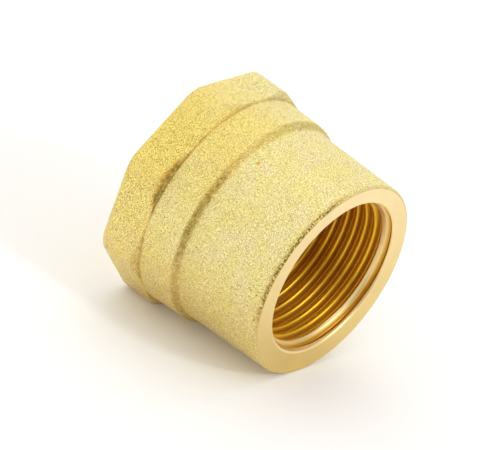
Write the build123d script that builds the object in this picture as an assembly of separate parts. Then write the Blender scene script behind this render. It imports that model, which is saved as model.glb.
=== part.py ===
from build123d import *
import math
import os

# Brass pipe cap with a G 3/4 female thread and a closed octagonal end, and the flat
# washer that it seals on. Millimetres. The thread's axis is the X axis, +X points out of
# the mouth, and the origin is on that axis in the plane of the mouth's face. The cap lies
# on its side, with two of the octagon's flats facing straight down and straight up (+Z).

# ---- driving dimensions -------------------------------------------------------------
# Outside of the forging
mouth_od = 33.0            # outside diameter of the turned face
barrel_base_od = 33.8      # the barrel's forging draft widens it to this
barrel_length = 15.6       # mouth face to the foot of the shoulder
shoulder_length = 1.0      # length of the sloping step up to the band
shoulder_od = 35.4         # diameter at the top of that step
band_end_od = 35.9         # diameter where the round band meets the octagon
band_end = 22.65           # mouth face to the end of the round band
across_flats = 36.0        # octagon, fits a 36 mm spanner
corner_radius = 5.0        # rounding of the octagon's corners
overall_length = 30.0      # mouth face to closed end face
closed_edge_radius = 1.0   # rounding of the closed end's outer edge
mouth_edge_radius = 0.3    # rounding of the mouth's outer edge
forging_drop = 0.45        # the forging's own axis lies this far below the thread's axis

# Inside of the cap, turned about the thread's axis
lip_od = 26.7              # inner edge of the flat mouth face
lip_chamfer = 0.4          # 45 degree break of that edge
thread_minor_d = 24.5      # bore at the thread's crests, G 3/4
lead_in_end = 2.0          # mouth face to the end of the lead-in cone
thread_end = 17.5          # mouth face to the thread relief
relief_d = 26.8            # relief groove, clear of the thread's 26.44 mm major diameter
washer_seat = 20.5         # mouth face to the flat seat for the washer
pocket_d = 18.0            # blind pocket behind the seat
pocket_end = 24.8          # mouth face to the pocket's floor
pocket_corner_radius = 1.5

# Flat sealing washer, free to pass through the thread's crests
washer_od = 23.6
washer_id = 17.0
washer_thickness = 2.0
washer_edge_chamfer = 0.15

# The whole octagon is blended into the band by a cone of this slope
scallop_angle = 45.0
octagon_sides = 8
cutter_clearance = 1.0     # the bore's cutter starts this far in front of the mouth


def turned(outline, axis_z=0.0):
    """A solid of revolution about a line parallel to X, from (x, radius) points."""
    points = [(x, axis_z + radius) for x, radius in outline]
    face = make_face(Plane.XZ * Polyline(*points, close=True))
    return revolve(face, Axis((0, 0, axis_z), (1, 0, 0)))


def octagon_outline():
    """The octagon's rounded outline, flats facing +-Z, in a plane facing +X."""
    sketch = RegularPolygon(across_flats / 2, octagon_sides, major_radius=False)
    sketch = Rot(0, 0, 180 / octagon_sides) * sketch
    return fillet(sketch.vertices(), corner_radius)


def octagon_end():
    """The closed end: an octagon whose corners are cut back by a cone at the band."""
    plane = Plane(origin=(-overall_length, 0, -forging_drop), x_dir=(0, 1, 0), z_dir=(1, 0, 0))
    prism = extrude(plane * octagon_outline(), overall_length - barrel_length - shoulder_length)
    closed_face = prism.faces().sort_by(Axis.X)[0]
    prism = fillet(closed_face.edges(), closed_edge_radius)
    corner_reach = across_flats / 2 / math.cos(math.pi / octagon_sides)
    cone_length = (corner_reach - band_end_od / 2) / math.tan(math.radians(scallop_angle))
    limit = turned(
        [
            (-barrel_length - shoulder_length, 0),
            (-barrel_length - shoulder_length, shoulder_od / 2),
            (-band_end, band_end_od / 2),
            (-band_end - cone_length, corner_reach),
            (-overall_length, corner_reach),
            (-overall_length, 0),
        ],
        -forging_drop,
    )
    return prism & limit


def round_forging():
    """The tapered barrel, the sloping shoulder and the round band."""
    shoulder_start = -barrel_length
    shoulder_end = -barrel_length - shoulder_length
    body = turned(
        [
            (0, 0),
            (0, mouth_od / 2),
            (shoulder_start, barrel_base_od / 2),
            (shoulder_end, shoulder_od / 2),
            (-band_end, band_end_od / 2),
            (-band_end, 0),
        ],
        -forging_drop,
    )
    rim = body.edges().filter_by(GeomType.CIRCLE).sort_by(Axis.X)[-1]
    return fillet(rim, mouth_edge_radius)


def bore():
    """The turned inside: lip, lead-in cone, thread bore, relief groove, seat and pocket."""
    relief_slope = (relief_d - thread_minor_d) / 2
    hollow = turned(
        [
            (cutter_clearance, 0),
            (cutter_clearance, lip_od / 2),
            (0, lip_od / 2),
            (-lip_chamfer, lip_od / 2 - lip_chamfer),
            (-lead_in_end, thread_minor_d / 2),
            (-thread_end, thread_minor_d / 2),
            (-thread_end - relief_slope, relief_d / 2),
            (-washer_seat, relief_d / 2),
            (-washer_seat, pocket_d / 2),
            (-pocket_end, pocket_d / 2),
            (-pocket_end, 0),
        ]
    )
    pocket_floor_edge = hollow.edges().filter_by(GeomType.CIRCLE).sort_by(Axis.X)[0]
    return fillet(pocket_floor_edge, pocket_corner_radius)


def cap_body():
    """The one-piece brass forging."""
    return round_forging() + octagon_end() - bore()


def sealing_washer():
    """The flat ring that lies on the seat at the bottom of the bore."""
    ring = turned(
        [
            (-washer_seat, washer_id / 2),
            (-washer_seat, washer_od / 2),
            (-washer_seat + washer_thickness, washer_od / 2),
            (-washer_seat + washer_thickness, washer_id / 2),
        ]
    )
    return chamfer(ring.edges().filter_by(GeomType.CIRCLE), washer_edge_chamfer)


os.makedirs("parts", exist_ok=True)
export_step(cap_body(), "parts/cap_body.step")
export_step(sealing_washer(), "parts/sealing_washer.step")
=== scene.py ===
import math

import bmesh
import bpy
import numpy as np
from mathutils import Matrix, Vector


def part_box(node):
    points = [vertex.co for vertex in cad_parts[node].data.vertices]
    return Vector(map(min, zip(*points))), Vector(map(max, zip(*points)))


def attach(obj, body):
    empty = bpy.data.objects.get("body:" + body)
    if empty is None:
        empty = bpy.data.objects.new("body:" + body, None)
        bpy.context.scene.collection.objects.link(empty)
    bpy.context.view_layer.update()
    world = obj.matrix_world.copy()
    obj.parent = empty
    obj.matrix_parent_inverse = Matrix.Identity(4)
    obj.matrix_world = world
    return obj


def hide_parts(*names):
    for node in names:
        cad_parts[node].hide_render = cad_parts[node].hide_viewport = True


# Brass pipe cap with a G 3/4 female thread, lying on its side. The shared frame's X axis is
# the thread's axis, +X out of the mouth, and the mouth's face is at x = 0. Lengths in the
# shape code are millimetres, "depth" is the distance behind the mouth's face, and phi is the
# angle about the axis, 0 at +Y and 90 degrees at +Z.

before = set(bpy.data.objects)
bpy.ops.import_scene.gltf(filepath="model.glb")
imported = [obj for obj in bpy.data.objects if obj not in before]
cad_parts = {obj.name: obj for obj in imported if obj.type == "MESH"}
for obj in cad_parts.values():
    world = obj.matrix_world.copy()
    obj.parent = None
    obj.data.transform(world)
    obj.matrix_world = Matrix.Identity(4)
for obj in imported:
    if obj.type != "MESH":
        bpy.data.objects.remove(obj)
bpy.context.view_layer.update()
body_low, body_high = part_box("cap_body")

MM = 0.001

# ---- the cap's dimensions -------------------------------------------------------------
LENGTH = (body_high.x - body_low.x) / MM
ACROSS_FLATS = (body_high.y - body_low.y) / MM
DROP = -(body_high.z + body_low.z) / 2 / MM    # forging axis below the thread axis
CORNER_RADIUS = 5.0
CLOSED_EDGE = 1.0
MOUTH_RADIUS = 16.5
BARREL_RISE = 0.4
TAPER_LENGTH = 15.65     # over which the barrel would gain the whole rise
BARREL_TAPER = BARREL_RISE / TAPER_LENGTH
SHOULDER_FOOT = 15.7
SHOULDER_TOP = 16.5
SHOULDER_RISE = 0.8
BAND_END = 22.65
BAND_RISE = 0.25
EDGE_BLEND = 0.08        # rounding between the octagon and the round band
BLUR_REACH = 0.075       # the profile is averaged this far each way, to soften its corners
BLUR_FADE = 0.1125       # distance at which that average's weights would reach 0
WORN_FOOT = 0.17         # on the worn side the shoulder starts this much nearer the mouth,
WORN_TOP = 0.33          # ends this much further from it,
WORN_BAND = 0.15         # and the band rises this much less
RIM = 0.3
UPPER_RIM = 0.2          # extra rounding of the mouth's outer edge on its upper side
RIM_ROWS = 5             # rows of the rounded rim that still have the blasted skin
TORN_DEPTH = 0.16
TORN_SINK = 0.7          # how far back a tear reaches for each mm that it goes in
LIP_RADIUS = 0.4
LIP_OUTER = 13.35
CREST = 12.25
ROOT = 13.22
PITCH = 1.814
ROOT_HALF_WIDTH = 0.151
FLANK = math.tan(math.radians(27.5))
THREAD_ROUNDING = 0.3    # of the roots and of the crests
GROOVE_START = 0.66      # depth of a groove's middle at phi = 0
FADE_IN_END = 0.35       # the groove reaches its full depth here,
FADE_OUT_START = 0.55    # starts to end this far behind the thread,
FADE_OUT_LENGTH = 0.6    # and is gone after this much more
FADE_LIFT = 0.3          # its bottom comes in this far, which leaves only the plain bore
LEAD_IN_END = 2.0
THREAD_END = 17.5
RELIEF = 13.4
RELIEF_START = THREAD_END + RELIEF - CREST
SEAT_DEPTH = 20.5
POCKET = 9.0
POCKET_END = 24.8
POCKET_CORNER = 1.5

# Sides of the cap, in degrees: the middle, how far each way a feature has its full strength,
# and how far each way it has faded out
WORN_SIDE = (115, 30, 75)
RIM_UPPER_SIDE = (90, 20, 60)
TORN_SIDE = (155, 18, 62)
TORN_DIRT_SIDE = (150, 24, 62)
# The next two: sides of the painted shade at the shoulder and in the corner cut-backs
SHOULDER_SHADE_SIDE = (160, 15, 40)
CUT_BACK_SHADE_SIDE = (160, 18, 38)
SCALLOP_SIDE = (157, 10, 17)
# where the cap's lower side gets a painted darker, redder shade
SHADED_UNDERSIDE = (235, 30, 65)

# Seed, depth and wavelength of the forging's unevenness
SKIN_WAVES = ((11, 0.045, 3.1), (12, 0.02, 1.05))
SKIN_CORE_BACK = 6       # the skin moves towards a line on the axis, which stops this far
SKIN_CORE_FRONT = 2      # from the closed face and this far from the mouth
TORN_WAVE = (21, 0.75)   # seed and wavelength of the tears
TORN_RADIUS = 16         # radius of the circle that the tears' noise is read on
TORN_LEVEL = 0.35        # share of a tear's depth where that noise is 0

# ---- the grid -------------------------------------------------------------------------
COLUMNS = 240
TURN = np.arange(COLUMNS + 1) * (2 * math.pi / COLUMNS)
CLOSED_FACE_ROWS = 23
SIDE_ROWS = ((24.0, 10), (22.4, 16), (17.1, 12), (15.3, 16))    # depth reached, rows to it
BARREL_ROWS = 34
# Row positions from a groove's middle to just short of the crest, in mm along the axis
GROOVE_ROWS = (0, 0.10, 0.17, 0.25, 0.36, 0.47, 0.58, 0.64, 0.68, 0.76)
WELD = 2e-7              # metres
SHARP_ANGLE = 38         # degrees


class Lattice:
    """Smooth noise between -1 and 1, the same on every run."""

    def __init__(self, seed, size=24):
        self.size = size
        self.values = np.random.RandomState(seed).uniform(-1, 1, (size, size, size))

    def __call__(self, points, wavelength):
        q = points / wavelength
        cell = np.floor(q).astype(int)
        t = q - cell
        t = t * t * (3 - 2 * t)
        total = np.zeros(q.shape[:-1])
        for corner in np.ndindex(2, 2, 2):
            c = np.array(corner)
            weight = np.prod(np.where(c == 1, t, 1 - t), axis=-1)
            i = (cell + c) % self.size
            total += weight * self.values[i[..., 0], i[..., 1], i[..., 2]]
        return total


def smooth_min(a, b, k):
    """The smaller of a and b, with the corner between them rounded over about k."""
    h = np.clip(0.5 + 0.5 * (b - a) / k, 0, 1)
    return b + (a - b) * h - k * h * (1 - h)


def smooth_max(a, b, k):
    return -smooth_min(-a, -b, k)


def rise(value, start, length):
    """0 up to the start, then up to 1 over the length."""
    return np.clip((value - start) / length, 0, 1)


def fall(value, end, length):
    """1 at first, then down over the length to 0 at the end."""
    return np.clip((end - value) / length, 0, 1)


def bell(value, centre, width, power=2):
    """1 at the centre, falling off on both sides."""
    return np.exp(-(((value - centre) / width) ** power))


def hump(phi, centre, full, end):
    """1 within `full` degrees of the centre, falling smoothly to 0 at `end` degrees."""
    off = np.abs((np.degrees(phi) - centre + 180) % 360 - 180)
    t = fall(off, end, end - full)
    return t * t * (3 - 2 * t)


def octagon_radius(phi, inset=0.0):
    """Distance from the forging's axis to the rounded octagon."""
    half = math.pi / 8
    apothem = ACROSS_FLATS / 2 - inset
    corner = CORNER_RADIUS - inset
    psi = np.abs((phi + half) % (2 * half) - half)
    reach = (apothem - corner) / math.cos(half)
    off = half - psi
    rounded = reach * np.cos(off) + np.sqrt(corner**2 - (reach * np.sin(off)) ** 2)
    flat_end = math.atan((apothem - corner) * math.tan(half) / apothem)
    return np.where(psi < flat_end, apothem / np.cos(psi), rounded)


def band_rise(phi):
    """How far the band's end stands above the top of the shoulder."""
    return BAND_RISE - WORN_BAND * hump(phi, *WORN_SIDE)


def outside_radius(depth, phi):
    """The forging's side: barrel, shoulder, band, and the octagon cut back by a cone."""
    worn = hump(phi, *WORN_SIDE)
    foot = SHOULDER_FOOT - WORN_FOOT * worn
    top = SHOULDER_TOP + WORN_TOP * worn
    blur = np.linspace(-BLUR_REACH, BLUR_REACH, 5)
    weights = 1 - np.abs(blur) / BLUR_FADE
    radius = 0
    for b, w in zip(blur, weights):
        d = depth + b
        r = MOUTH_RADIUS + BARREL_TAPER * np.minimum(d, foot)
        r = r + SHOULDER_RISE * rise(d, foot, top - foot)
        r = r + band_rise(phi) * rise(d, top, BAND_END - top)
        radius = radius + w * (r + np.maximum(d - BAND_END, 0))
    return smooth_min(radius / weights.sum(), octagon_radius(phi), EDGE_BLEND)


def rim_size(phi):
    """Rounding of the mouth's outer edge, larger on the upper side."""
    return RIM + UPPER_RIM * hump(phi, *RIM_UPPER_SIDE)


def bore_radius(depth):
    """The turned bore without its thread."""
    lip = LIP_OUTER - np.sqrt(np.maximum(LIP_RADIUS**2 - (LIP_RADIUS - depth) ** 2, 0))
    cone = np.interp(
        depth,
        (LIP_RADIUS, LEAD_IN_END, THREAD_END, RELIEF_START),
        (LIP_OUTER - LIP_RADIUS, CREST, CREST, RELIEF),
    )
    return np.where(depth < LIP_RADIUS, lip, cone)


def thread_radius(depth, phi):
    """The bore with the thread's groove cut into it, fading out at both ends."""
    along = depth - GROOVE_START + PITCH * phi / (2 * math.pi)
    off = np.abs((along / PITCH + 0.5) % 1 - 0.5) * PITCH
    flanks = ROOT - (off - ROOT_HALF_WIDTH) / FLANK
    groove = smooth_min(flanks, ROOT + 0 * off, THREAD_ROUNDING)
    fade_in = np.clip(1 - depth / FADE_IN_END, 0, 1)
    fade_out = rise(depth - THREAD_END, FADE_OUT_START, FADE_OUT_LENGTH)
    groove = groove - FADE_LIFT * (fade_in + fade_out)
    return smooth_max(bore_radius(depth), groove, THREAD_ROUNDING)


def ring(depth, radius, axis_z):
    """One closed ring of points, as a row of the grid."""
    radius = radius + 0 * TURN
    return np.stack(
        [-(depth + 0 * TURN), radius * np.cos(TURN), radius * np.sin(TURN) + axis_z], axis=-1
    )


def outside_rows():
    """Rings from the middle of the closed face to the start of the rounded rim."""
    rows = []
    face_edge = octagon_radius(TURN, CLOSED_EDGE)
    for share in np.linspace(0, 1, CLOSED_FACE_ROWS + 1)[:-1]:
        rows.append(ring(LENGTH, face_edge * share, -DROP))
    for t in np.radians(np.linspace(90, 0, 8)):
        inset = CLOSED_EDGE * (1 - math.cos(t))
        depth = LENGTH - CLOSED_EDGE * (1 - math.sin(t))
        rows.append(ring(depth, octagon_radius(TURN, inset), -DROP))
    reached = LENGTH - CLOSED_EDGE
    for end, count in SIDE_ROWS:
        for depth in np.linspace(reached, end, count + 1)[1:]:
            rows.append(ring(depth, outside_radius(depth, TURN), -DROP))
        reached = end
    for share in np.linspace(0, 1, BARREL_ROWS + 1)[1:]:
        depth = reached + (rim_size(TURN) - reached) * share
        rows.append(ring(depth, outside_radius(depth, TURN), -DROP))
    return rows


def face_rows():
    """The rounded rim, torn on its near side, and the flat turned face as far as the lip."""
    rows = []
    rim = rim_size(TURN)
    rim_radius = outside_radius(rim, TURN)
    on_rim = np.stack([np.cos(TURN), np.sin(TURN), 0 * TURN], axis=-1) * TORN_RADIUS
    seed, wavelength = TORN_WAVE
    tears = np.clip(TORN_LEVEL + Lattice(seed)(on_rim, wavelength), 0, 1)
    torn = TORN_DEPTH * hump(TURN, *TORN_SIDE) * tears
    for t in np.radians(np.linspace(0, 90, RIM_ROWS + 2)):
        eaten = torn * math.sin(2 * t)
        depth = rim * (1 - math.sin(t)) + eaten * TORN_SINK
        rows.append(ring(depth, rim_radius - rim * (1 - math.cos(t)) - eaten, -DROP))
    for share in np.linspace(0, 1, 11)[1:]:
        radius = rim_radius - rim + (LIP_OUTER - rim_radius + rim) * share
        rows.append(ring(0, radius, -DROP * (1 - share)))
    return rows


def thread_rows():
    """Rows that follow the thread's helix, from the lip to the relief groove."""
    offsets = GROOVE_ROWS + (PITCH / 2,) + tuple(PITCH - w for w in GROOVE_ROWS[:0:-1])
    ease = 2 * LIP_RADIUS
    end = RELIEF_START + LIP_RADIUS
    rows = []
    for k in range(-1, int(end / PITCH) + 3):
        for offset in offsets:
            along = GROOVE_START + LIP_RADIUS + PITCH * k + offset - PITCH * TURN / (2 * math.pi)
            along = np.clip(along, 0, end)
            depth = np.where(along < ease, along**2 / (2 * ease), along - LIP_RADIUS)
            rows.append(ring(depth, thread_radius(depth, TURN), 0))
    return rows


def pocket_rows():
    """Relief groove, washer seat and blind pocket."""
    rows = []
    for depth in np.linspace(RELIEF_START, SEAT_DEPTH, 6):
        rows.append(ring(depth, RELIEF, 0))
    for radius in np.linspace(RELIEF, POCKET, 8)[1:]:
        rows.append(ring(SEAT_DEPTH, radius, 0))
    for depth in np.linspace(SEAT_DEPTH, POCKET_END - POCKET_CORNER, 6)[1:]:
        rows.append(ring(depth, POCKET, 0))
    for t in np.radians(np.linspace(0, 90, 6))[1:]:
        radius = POCKET - POCKET_CORNER * (1 - math.cos(t))
        rows.append(ring(POCKET_END - POCKET_CORNER * (1 - math.sin(t)), radius, 0))
    for share in np.linspace(1, 0, 8)[1:]:
        rows.append(ring(POCKET_END, (POCKET - POCKET_CORNER) * share, 0))
    return rows


def roughen(grid):
    """The forging's own unevenness: everything is moved a little inwards, towards its axis."""
    middle = grid.copy()
    middle[..., 1] = 0
    middle[..., 2] = -DROP
    middle[..., 0] = np.clip(grid[..., 0], -LENGTH + SKIN_CORE_BACK, -SKIN_CORE_FRONT)
    inward = middle - grid
    inward /= np.maximum(np.linalg.norm(inward, axis=-1, keepdims=True), 1e-9)
    depth = 0
    for seed, height, wavelength in SKIN_WAVES:
        depth = depth + height * (1 + Lattice(seed)(grid, wavelength)) / 2
    return grid + inward * depth[..., None]


def grid_faces(first, rows):
    """Quads between neighbouring rows, as vertex numbers."""
    width = COLUMNS + 1
    i, j = np.meshgrid(np.arange(rows - 1), np.arange(COLUMNS), indexing="ij")
    a = first + i * width + j
    return np.stack([a, a + 1, a + width + 1, a + width], axis=-1).reshape(-1, 4)


# Material slot of the outside, the mouth's face, the thread, and the pocket
BLASTED, TURNED, THREADED = 0, 1, 2
SKINS = (BLASTED, TURNED, THREADED, TURNED)


def build_cap():
    """The whole cap as one closed mesh, with its material slots."""
    outside = roughen(np.array(outside_rows()))
    rim_blend = np.array(face_rows())
    rim_blend[0] = outside[-1]
    blocks = [outside, rim_blend, np.array(thread_rows()), np.array(pocket_rows())]
    points, faces, slots, first = [], [], [], 0
    for number, block in enumerate(blocks):
        points.append(block.reshape(-1, 3))
        found = grid_faces(first, len(block))
        slot = np.full(len(found), SKINS[number])
        if block is rim_blend:
            slot[: RIM_ROWS * COLUMNS] = BLASTED
        faces.append(found)
        slots.append(slot)
        first += block.shape[0] * block.shape[1]
    points = np.concatenate(points) * MM
    mesh = bpy.data.meshes.new("forged_cap")
    mesh.from_pydata(points.tolist(), [], np.concatenate(faces).tolist())
    mesh.polygons.foreach_set("material_index", np.concatenate(slots).astype(np.int32))
    bm = bmesh.new()
    bm.from_mesh(mesh)
    bmesh.ops.remove_doubles(bm, verts=bm.verts, dist=WELD)
    bmesh.ops.recalc_face_normals(bm, faces=bm.faces)
    bm.to_mesh(mesh)
    bm.free()
    mesh.shade_smooth()
    mesh.set_sharp_from_angle(angle=math.radians(SHARP_ANGLE))
    return bpy.data.objects.new("forged_cap", mesh)


# ---- materials ------------------------------------------------------------------------
# Noise scales, per metre
GRAIN_SCALE = 16000
DIMPLE_SCALE = 1500
CAST_SCALE = 260
BROAD_SCALE = 110
TEAR_SCALE = 3300
TOOL_MARK_SCALE = 9000
WAVE_SCALE = 900
TARNISH_SCALE = 160
RUBBER_GRAIN_SCALE = 2600
RUBBER_BLOOM_SCALE = 240

# Parts of a noise's range that are spread over the full effect
GRAIN_SPAN = (0.34, 0.66)
NOISE_SPAN = (0.3, 0.7)

# Colours
SKIN_PALE = (1.00, 0.81, 0.34, 1)
SKIN_GREEN = (1.00, 0.84, 0.28, 1)
SKIN_WARM = (1.00, 0.68, 0.155, 1)
# Painted shade: the cap's lower side darker and redder
UNDERSIDE_PAINTED_SHADE = (0.98, 0.89, 0.86, 1)
# Dirt on the torn rim, and painted shade at the shoulder, in the crease and in the corner
# cut-backs
DIRT_AND_SHADE = (0.20, 0.160, 0.030, 1)
PIT_BROWN = (0.20, 0.12, 0.03, 1)
STAIN_BROWN = (0.62, 0.30, 0.03, 1)
# The mouth's face, painted lit at its top and painted shaded, golder, at its bottom
FACE_PAINTED_LIT = (0.92, 0.74, 0.39, 1)
FACE_PAINTED_SHADE = (0.77, 0.57, 0.19, 1)
LEAD_IN = (0.92, 0.72, 0.35, 1)
# Painted shade further into the bore: a saturated amber for the light bounced inside it
BORE_SHADE_AMBER = (0.98, 0.61, 0.04, 1)
TARNISH = (0.4, 0.25, 0.08, 1)
# Painted shade in the thread's roots
ROOT_SHADE_BROWN = (0.56, 0.26, 0.02, 1)
RUBBER_DARK = (0.30, 0.10, 0.05, 1)
RUBBER_LIGHT = (0.40, 0.15, 0.08, 1)

# Strength of the skin's darkest and brightest grains, the brightest partly painted glints of the
# facets: its change with the warm tint, and its value without the tint
DULL_RED = (-0.14, 0.16)
DULL_GREEN = (-0.05, 0.06)
BRIGHT_RED = (0.54, 2.05)
BRIGHT_GREEN = (0.03, 1.82)
BRIGHT_BLUE = 1.92

# Depth, angle and radius of the small pits near the mouth and of the brown stains
PITS = ((0.87, 192.6, 0.27), (1.65, 178.4, 0.25), (2.91, 178.1, 0.22), (0.38, 178.6, 0.25))
STAINS = ((13.91, 121.4, 0.42), (19.4, 117.0, 0.26))
SPOT_SINK = 0.03         # a spot's middle lies this far under the smooth skin
SPOT_CORE = 0.45         # share of a spot's radius that has its full strength
PIT_STRENGTH = 0.75
STAIN_STRENGTH = 0.8

# Roughness, and the height of the relief in metres
BLASTED_ROUGHNESS = (0.40, 0.56)
BLASTED_RELIEF = 0.00007
FACE_ROUGHNESS = 0.30
FACE_RELIEF = 0.00001
THREAD_ROUGHNESS = 0.40
THREAD_RELIEF = 0.000004
RUBBER_ROUGHNESS = (0.5, 0.72)
RUBBER_RELIEF = 0.00004

# How the painted shade's strength changes with the dimples and with the grain
SHADE_BY_DIMPLE = (0.65, 1.25)
SHADE_BY_GRAIN = (1.60, 0.85)

TINT_UNEVENNESS = 0.15
TARNISH_STRENGTH = 0.12

# Masks on the cap. DEGREES and BELL are a middle and a width. DEPTH, RADIUS and STEP are where
# a rise starts or a fall ends, and its length, in millimetres.
FLAT_TINT_DEGREES = (143, 44)
FLAT_TINT_DEPTH = (22.4, 0.8)
BAND_TINT = 0.7
BAND_TINT_DEGREES = (126, 38)
BAND_TINT_DEPTH = (15.0, 2.0)
CLOSED_FACE_RADIUS = (15, 2.5)        # the tint fades out towards the closed face's middle
# Painted shade at the shoulder, in the crease by the band and in the corner cut-backs
SHOULDER_SHADE = 0.36
SHOULDER_SHADE_MORE = 0.34             # added on the more shaded side
SHOULDER_SHADE_BELL = (16.17, 0.58)
CUT_BACK_STEP = (-0.02, 0.3)          # height of the octagon above the round band
CREASE_SHADE = 0.95
CREASE_BELL = (22.78, 0.20)
SCALLOP_SHADE = 0.8
SCALLOP_BELL = (23.1, 0.5)
TORN_DIRT_DEPTH = (1.0, 0.7)
THREAD_MASK_START = 0.01
ROOT_BAND = 0.45                      # the mask of painted shade in the thread's roots is full this far outside the bore
ROOT_SHADE = 0.5
FIRST_ROOT_SHADE_MORE = 0.45                # more painted shade, added in the first groove
FIRST_ROOT_DEPTH = (2.2, 1.2)
# where the bore's painted amber shade begins, and its length
BORE_SHADE_DEPTH = (1.8, 0.8)


class Shader:
    """A few short calls for building a node material."""

    def __init__(self, name):
        self.material = bpy.data.materials.new(name)
        self.material.use_nodes = True
        self.tree = self.material.node_tree
        self.main = self.tree.nodes["Principled BSDF"]
        coords = self.tree.nodes.new("ShaderNodeTexCoord")
        self.coords = coords.outputs["Object"]

    def put(self, socket, value):
        """A link where the value comes from another node, or else the value itself."""
        if isinstance(value, bpy.types.NodeSocket):
            self.tree.links.new(value, socket)
        else:
            socket.default_value = value

    def node(self, kind, inputs=None, **settings):
        node = self.tree.nodes.new("ShaderNode" + kind)
        for key, value in settings.items():
            setattr(node, key, value)
        for key, value in (inputs or {}).items():
            self.put(node.inputs[key], value)
        return node

    def noise(self, scale, detail=2.0, rough=0.5, vector=None):
        inputs = {
            "Vector": vector or self.coords,
            "Scale": scale,
            "Detail": detail,
            "Roughness": rough,
        }
        return self.node("TexNoise", inputs).outputs["Fac"]

    def attribute(self, name):
        return self.node("Attribute", attribute_name=name).outputs["Fac"]

    def maths(self, operation, a, b=0.0, c=0.0, clamp=False):
        node = self.node("Math", operation=operation, use_clamp=clamp)
        for socket, value in zip(node.inputs, (a, b, c)):
            self.put(socket, value)
        return node.outputs[0]

    def mix(self, share, a, b, blend="MIX"):
        inputs = {0: share, 6: a, 7: b}
        return self.node("Mix", inputs, data_type="RGBA", blend_type=blend).outputs[2]

    def ranged(self, value, low, high, to_low, to_high):
        inputs = {0: value, 1: low, 2: high, 3: to_low, 4: to_high}
        return self.node("MapRange", inputs).outputs[0]

    def bump(self, height, distance, strength):
        inputs = {"Height": height, "Distance": distance, "Strength": strength}
        return self.node("Bump", inputs).outputs["Normal"]

    def spot(self, depth, degrees, size):
        """A mask that is 1 at one place on the forging's skin and 0 outside a small circle."""
        phi = math.radians(degrees)
        radius = float(outside_radius(np.array(depth), np.array(phi))) - SPOT_SINK
        place = Vector((-depth, radius * math.cos(phi), radius * math.sin(phi) - DROP)) * MM
        inputs = {0: self.coords, 1: place}
        far = self.node("VectorMath", inputs, operation="DISTANCE").outputs["Value"]
        return self.ranged(far, size * MM, size * SPOT_CORE * MM, 0.0, 1.0)

    def spots(self, places):
        total = None
        for place in places:
            mask = self.spot(*place)
            total = mask if total is None else self.maths("MAXIMUM", total, mask)
        return total

    def finish(self, **inputs):
        """Fill in the main shader, and hand over the material."""
        for key, value in inputs.items():
            self.put(self.main.inputs[key.replace("_", " ")], value)
        return self.material


def blasted_brass():
    """Sand-blasted forging: matt, pale gold, a fine sparkle of tiny facets painted into the
    colour: random grain tone, and painted glints in the brightest grains.
    """
    s = Shader("blasted_brass")
    fine = s.noise(GRAIN_SCALE, 0.0, 0.5)
    coarse = s.noise(DIMPLE_SCALE, 3.0, 0.6)
    broad = s.noise(BROAD_SCALE, 3.0, 0.55)
    broad = s.ranged(broad, *NOISE_SPAN, -TINT_UNEVENNESS, TINT_UNEVENNESS)
    tint = s.maths("ADD", s.attribute("flat_tint"), broad, clamp=True)
    cast = s.ranged(s.noise(CAST_SCALE, 3.0, 0.6), 0.38, 0.62, 0.0, 1.0)
    colour = s.mix(tint, s.mix(cast, SKIN_PALE, SKIN_GREEN), SKIN_WARM)

    dull_red = s.maths("MULTIPLY_ADD", tint, *DULL_RED)
    dull_green = s.maths("MULTIPLY_ADD", tint, *DULL_GREEN)
    bright_red = s.maths("MULTIPLY_ADD", tint, *BRIGHT_RED)
    bright_green = s.maths("MULTIPLY_ADD", tint, *BRIGHT_GREEN)
    # Grain tone, and painted glints in the brightest grains
    red = s.ranged(fine, *GRAIN_SPAN, dull_red, bright_red)
    green = s.ranged(fine, *GRAIN_SPAN, dull_green, bright_green)
    blue = s.ranged(fine, *GRAIN_SPAN, 0.0, BRIGHT_BLUE)
    grain_and_glints = s.node("CombineColor", {0: red, 1: green, 2: blue}).outputs[0]
    colour = s.mix(1.0, colour, grain_and_glints, "MULTIPLY")
    # Painted shade: the cap's lower side darker and redder
    colour = s.mix(s.attribute("underside_shade"), colour, UNDERSIDE_PAINTED_SHADE, "MULTIPLY")

    # Painted shade at the shoulder, in the crease and in the corner cut-backs, patchy with the
    # dimples and the grain
    patchy = s.ranged(coarse, *NOISE_SPAN, *SHADE_BY_DIMPLE)
    patchy = s.maths("MULTIPLY", patchy, s.ranged(fine, *GRAIN_SPAN, *SHADE_BY_GRAIN))
    painted_shade = s.maths("MULTIPLY", s.attribute("painted_shade"), patchy, clamp=True)
    torn = s.ranged(s.noise(TEAR_SCALE, 2.0, 0.6), 0.34, 0.56, 0.0, 1.1)
    torn = s.maths("MULTIPLY", s.attribute("torn"), torn, clamp=True)
    pits = s.spots(PITS)
    # Dirt on the torn rim, and the painted shade, in one dark olive
    colour = s.mix(s.maths("MAXIMUM", painted_shade, torn), colour, DIRT_AND_SHADE)
    colour = s.mix(s.maths("MULTIPLY", pits, PIT_STRENGTH), colour, PIT_BROWN)
    stains = s.maths("MULTIPLY", s.spots(STAINS), STAIN_STRENGTH)
    colour = s.mix(stains, colour, STAIN_BROWN)

    rough = s.ranged(coarse, *NOISE_SPAN, *BLASTED_ROUGHNESS)
    height = s.maths("MULTIPLY_ADD", fine, 0.7, s.maths("MULTIPLY", coarse, 0.7))
    normal = s.bump(s.maths("SUBTRACT", height, pits), BLASTED_RELIEF, 0.9)
    return s.finish(Base_Color=colour, Metallic=1.0, Roughness=rough, Normal=normal)


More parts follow.
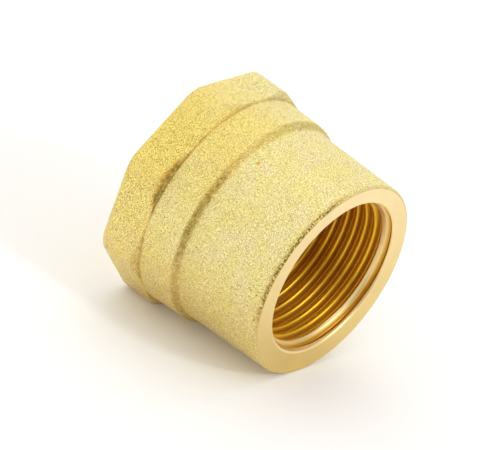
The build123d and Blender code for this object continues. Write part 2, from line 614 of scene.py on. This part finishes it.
def turned_brass(name, near, far, mask, rough, relief):
    """Machined brass with fine circular tool marks and painted brown shade in the thread's
    roots.

    The attribute `mask` goes from the near colour to the far one.
    """
    s = Shader(name)
    split = s.node("SeparateXYZ", {0: s.coords})
    x, y, z = split.outputs
    radius = s.maths("SQRT", s.maths("ADD", s.maths("POWER", y, 2.0), s.maths("POWER", z, 2.0)))
    profile = s.node("CombineXYZ", {0: radius, 1: x, 2: 0.0}).outputs[0]
    marks = s.noise(TOOL_MARK_SCALE, 3.0, 0.7, profile)
    height = s.maths("ADD", marks, s.maths("MULTIPLY", s.noise(WAVE_SCALE, 2.0), 0.2))
    # On the face, from painted light to painted shade; in the bore, from the lead-in colour to a
    # painted amber shade further in
    colour = s.mix(s.attribute(mask), near, far)
    patches = s.ranged(s.noise(TARNISH_SCALE, 3.0, 0.6), *NOISE_SPAN, 0.0, TARNISH_STRENGTH)
    colour = s.mix(patches, colour, TARNISH)
    # painted shade in the thread's roots
    colour = s.mix(s.attribute("root_shade"), colour, ROOT_SHADE_BROWN)
    roughness = s.ranged(marks, *NOISE_SPAN, rough * 0.85, rough * 1.2)
    normal = s.bump(height, relief, 0.6)
    return s.finish(Base_Color=colour, Metallic=1.0, Roughness=roughness, Normal=normal)


def rubber():
    """Moulded red-brown rubber with a faint grain."""
    s = Shader("washer_rubber")
    grain = s.noise(RUBBER_GRAIN_SCALE, 3.0, 0.6)
    bloom = s.ranged(s.noise(RUBBER_BLOOM_SCALE, 3.0, 0.6), 0.35, 0.7, 0.0, 1.0)
    colour = s.mix(bloom, RUBBER_DARK, RUBBER_LIGHT)
    rough = s.ranged(grain, *NOISE_SPAN, *RUBBER_ROUGHNESS)
    normal = s.bump(grain, RUBBER_RELIEF, 0.6)
    return s.finish(Base_Color=colour, Roughness=rough, Normal=normal)


def paint_attributes(obj):
    """Per-vertex masks for the cap's materials.

    flat_tint is the warmer tone of the flats and the band, painted_shade the painted shade at
    the shoulder, in the crease and in the corner cut-backs, torn the dirt on the torn rim, and
    underside_shade a darker, redder painted shade on the cap's lower side. In the bore,
    bore_shade goes from the lip's colour to a painted amber shade further in, and root_shade
    marks painted shade in the thread's roots. face_shade goes from a painted lit top of the
    mouth's face to a painted shaded bottom.
    """
    mesh = obj.data
    co = np.zeros(len(mesh.vertices) * 3, np.float32)
    mesh.vertices.foreach_get("co", co)
    p = co.reshape(-1, 3).astype(float) / MM
    depth = -p[:, 0]
    phi = np.arctan2(p[:, 2] + DROP, p[:, 1])
    degrees = np.degrees(phi) % 360

    flat = rise(depth, *FLAT_TINT_DEPTH) * bell(degrees, *FLAT_TINT_DEGREES)
    band = rise(depth, *BAND_TINT_DEPTH) * bell(degrees, *BAND_TINT_DEGREES)
    side = rise(np.hypot(p[:, 1], p[:, 2] + DROP), *CLOSED_FACE_RADIUS)

    # Painted shade at the shoulder, in the crease and in the corner cut-backs
    shoulder = SHOULDER_SHADE + SHOULDER_SHADE_MORE * hump(phi, *SHOULDER_SHADE_SIDE)
    shoulder = shoulder * bell(depth, *SHOULDER_SHADE_BELL, power=4)
    step = octagon_radius(phi) - MOUTH_RADIUS - BARREL_RISE - SHOULDER_RISE - band_rise(phi)
    cut_back = rise(step, *CUT_BACK_STEP) * (0.5 + 0.5 * hump(phi, *CUT_BACK_SHADE_SIDE))
    crease = CREASE_SHADE * cut_back * bell(depth, *CREASE_BELL)
    scallop = SCALLOP_SHADE * cut_back * hump(phi, *SCALLOP_SIDE) * bell(depth, *SCALLOP_BELL)

    # Painted shade in the thread's roots, more of it in the first groove
    threaded = (depth > THREAD_MASK_START) & (depth < THREAD_END)
    root_shade = threaded * rise(np.hypot(p[:, 1], p[:, 2]), bore_radius(depth), ROOT_BAND)
    root_shade = root_shade * (ROOT_SHADE + FIRST_ROOT_SHADE_MORE * fall(depth, *FIRST_ROOT_DEPTH))

    masks = {
        "flat_tint": np.maximum(flat, band * BAND_TINT) * side,
        "painted_shade": shoulder + np.maximum(crease, scallop),
        "torn": hump(phi, *TORN_DIRT_SIDE) * fall(depth, *TORN_DIRT_DEPTH),
        # painted shade on the cap's lower side
        "underside_shade": hump(phi, *SHADED_UNDERSIDE),
        # painted amber shade further into the bore, and painted shade in the thread's roots
        "bore_shade": np.maximum(rise(depth, *BORE_SHADE_DEPTH), root_shade),
        "root_shade": root_shade,
        # painted shade down the mouth's face, from its lit top to its shaded bottom
        "face_shade": (1 - np.sin(phi)) / 2,
    }
    for name, values in masks.items():
        attribute = mesh.attributes.new(name, "FLOAT", "POINT")
        attribute.data.foreach_set("value", values.astype(np.float32))


cap = build_cap()
bpy.context.scene.collection.objects.link(cap)
paint_attributes(cap)
cap.data.materials.append(blasted_brass())
# The mouth's face goes from a painted lit top to a painted shaded bottom
cap.data.materials.append(
    turned_brass(
        "turned_brass", FACE_PAINTED_LIT, FACE_PAINTED_SHADE, "face_shade", FACE_ROUGHNESS, FACE_RELIEF
    )
)
# The bore: the lead-in colour near the mouth, a painted amber shade further in
cap.data.materials.append(
    turned_brass("threaded_brass", LEAD_IN, BORE_SHADE_AMBER, "bore_shade", THREAD_ROUGHNESS, THREAD_RELIEF)
)
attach(cap, "cap")
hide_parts("cap_body")

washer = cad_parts["sealing_washer"]
washer.data.materials.clear()
washer.data.materials.append(rubber())

# ---- stage, light and camera ----------------------------------------------------------
# The floor slopes under the cap, because the octagon is wider than the mouth
FLOOR_REACH = 2000
rim_bottom = -DROP - MOUTH_RADIUS
flat_bottom = -DROP - ACROSS_FLATS / 2
floor_points = []
for x, height in (
    (-FLOOR_REACH, flat_bottom),
    (-BAND_END, flat_bottom),
    (0, rim_bottom),
    (FLOOR_REACH, rim_bottom),
):
    for y in (-FLOOR_REACH, FLOOR_REACH):
        floor_points.append((x * MM, y * MM, height * MM))
floor_mesh = bpy.data.meshes.new("floor")
floor_mesh.from_pydata(floor_points, [], [(k, k + 2, k + 3, k + 1) for k in (0, 2, 4)])
floor = bpy.data.objects.new("floor", floor_mesh)
bpy.context.scene.collection.objects.link(floor)
paper = Shader("pale_paper")
floor.data.materials.append(
    paper.finish(
        Base_Color=(0.90, 0.88, 0.86, 1),
        Roughness=0.8,
        Emission_Color=(1, 1, 1, 1),
        Emission_Strength=0.05,
    )
)

scene = bpy.context.scene
scene.view_settings.view_transform = "Standard"
scene.cycles.max_bounces = 16
scene.cycles.glossy_bounces = 14

WORLD_LEVEL = 1.14
DARK_DIRECTION = (0.80, -0.52, 0.14)
DARK_OUTER, DARK_INNER = 40, 10       # degrees from that direction
DARK_LEVEL = 0.0
DIM_DIRECTION = (0.47, 0.70, 0.54)
DIM_OUTER, DIM_INNER = 36, 8
DIM_LEVEL = 0.5


def studio_world():
    """A white studio: bright all round, but dark in one direction and dimmer in another."""
    world = bpy.data.worlds.new("studio")
    scene.world = world
    world.use_nodes = True
    tree = world.node_tree
    background = tree.nodes["Background"]
    background.inputs["Color"].default_value = (1, 1, 1, 1)
    coords = tree.nodes.new("ShaderNodeTexCoord").outputs["Generated"]

    def lobe(direction, outer, inner, low, high):
        """A value that goes from low to high between two angles from a direction."""
        dot = tree.nodes.new("ShaderNodeVectorMath")
        dot.operation = "DOT_PRODUCT"
        tree.links.new(coords, dot.inputs[0])
        dot.inputs[1].default_value = Vector(direction).normalized()
        ramp = tree.nodes.new("ShaderNodeMapRange")
        ramp.interpolation_type = "SMOOTHSTEP"
        tree.links.new(dot.outputs["Value"], ramp.inputs[0])
        ramp.inputs[1].default_value = math.cos(math.radians(outer))
        ramp.inputs[2].default_value = math.cos(math.radians(inner))
        ramp.inputs[3].default_value = low
        ramp.inputs[4].default_value = high
        return ramp.outputs[0]

    dark = lobe(DARK_DIRECTION, DARK_OUTER, DARK_INNER, 1.0, DARK_LEVEL)
    dim = lobe(DIM_DIRECTION, DIM_OUTER, DIM_INNER, WORLD_LEVEL, WORLD_LEVEL * DIM_LEVEL)
    level = tree.nodes.new("ShaderNodeMath")
    level.operation = "MULTIPLY"
    tree.links.new(dark, level.inputs[0])
    tree.links.new(dim, level.inputs[1])
    tree.links.new(level.outputs[0], background.inputs["Strength"])

    # The camera itself sees plain white
    shown = tree.nodes.new("ShaderNodeBackground")
    path = tree.nodes.new("ShaderNodeLightPath")
    mixer = tree.nodes.new("ShaderNodeMixShader")
    tree.links.new(path.outputs["Is Camera Ray"], mixer.inputs[0])
    tree.links.new(background.outputs[0], mixer.inputs[1])
    tree.links.new(shown.outputs[0], mixer.inputs[2])
    shown.inputs["Color"].default_value = (1, 1, 1, 1)
    tree.links.new(mixer.outputs[0], tree.nodes["World Output"].inputs["Surface"])


def softbox(name, position, size, power):
    """A square lamp that points at the mouth, lengths in metres."""
    light = bpy.data.lights.new(name, "AREA")
    light.shape = "RECTANGLE"
    light.size = size
    light.size_y = size
    light.energy = power
    lamp = bpy.data.objects.new(name, light)
    lamp.location = position
    lamp.rotation_euler = (-Vector(position)).to_track_quat("-Z", "Y").to_euler()
    lamp.visible_camera = False
    scene.collection.objects.link(lamp)


studio_world()
softbox("key", position=(-0.5, 0.6, 0.9), size=0.9, power=0.9)
softbox("front", position=(0.60, 0.007, 0.52), size=0.10, power=1.2)

VIEW_AZIMUTH = 31.05      # degrees
VIEW_ELEVATION = 28.06
VIEW_ROLL = 20.23
VIEW_DISTANCE = 0.9027    # metres
SENSOR_WIDTH = 36         # millimetres
FOCAL_LENGTH = 432
TARGET = Vector((-0.01628, -0.00090, -0.00052))
camera = bpy.data.cameras.new("camera")
camera.sensor_width = SENSOR_WIDTH
camera.lens = FOCAL_LENGTH
camera.clip_start = 0.02
camera.clip_end = 20
eye = bpy.data.objects.new("camera", camera)
scene.collection.objects.link(eye)
azimuth, elevation = math.radians(VIEW_AZIMUTH), math.radians(VIEW_ELEVATION)
back = Vector(
    (
        math.sin(azimuth) * math.cos(elevation),
        -math.cos(azimuth) * math.cos(elevation),
        math.sin(elevation),
    )
)
eye.matrix_world = (
    Matrix.Translation(TARGET + back * VIEW_DISTANCE)
    @ (-back).to_track_quat("-Z", "Y").to_matrix().to_4x4()
    @ Matrix.Rotation(math.radians(VIEW_ROLL), 4, "Z")
)
scene.camera = eye
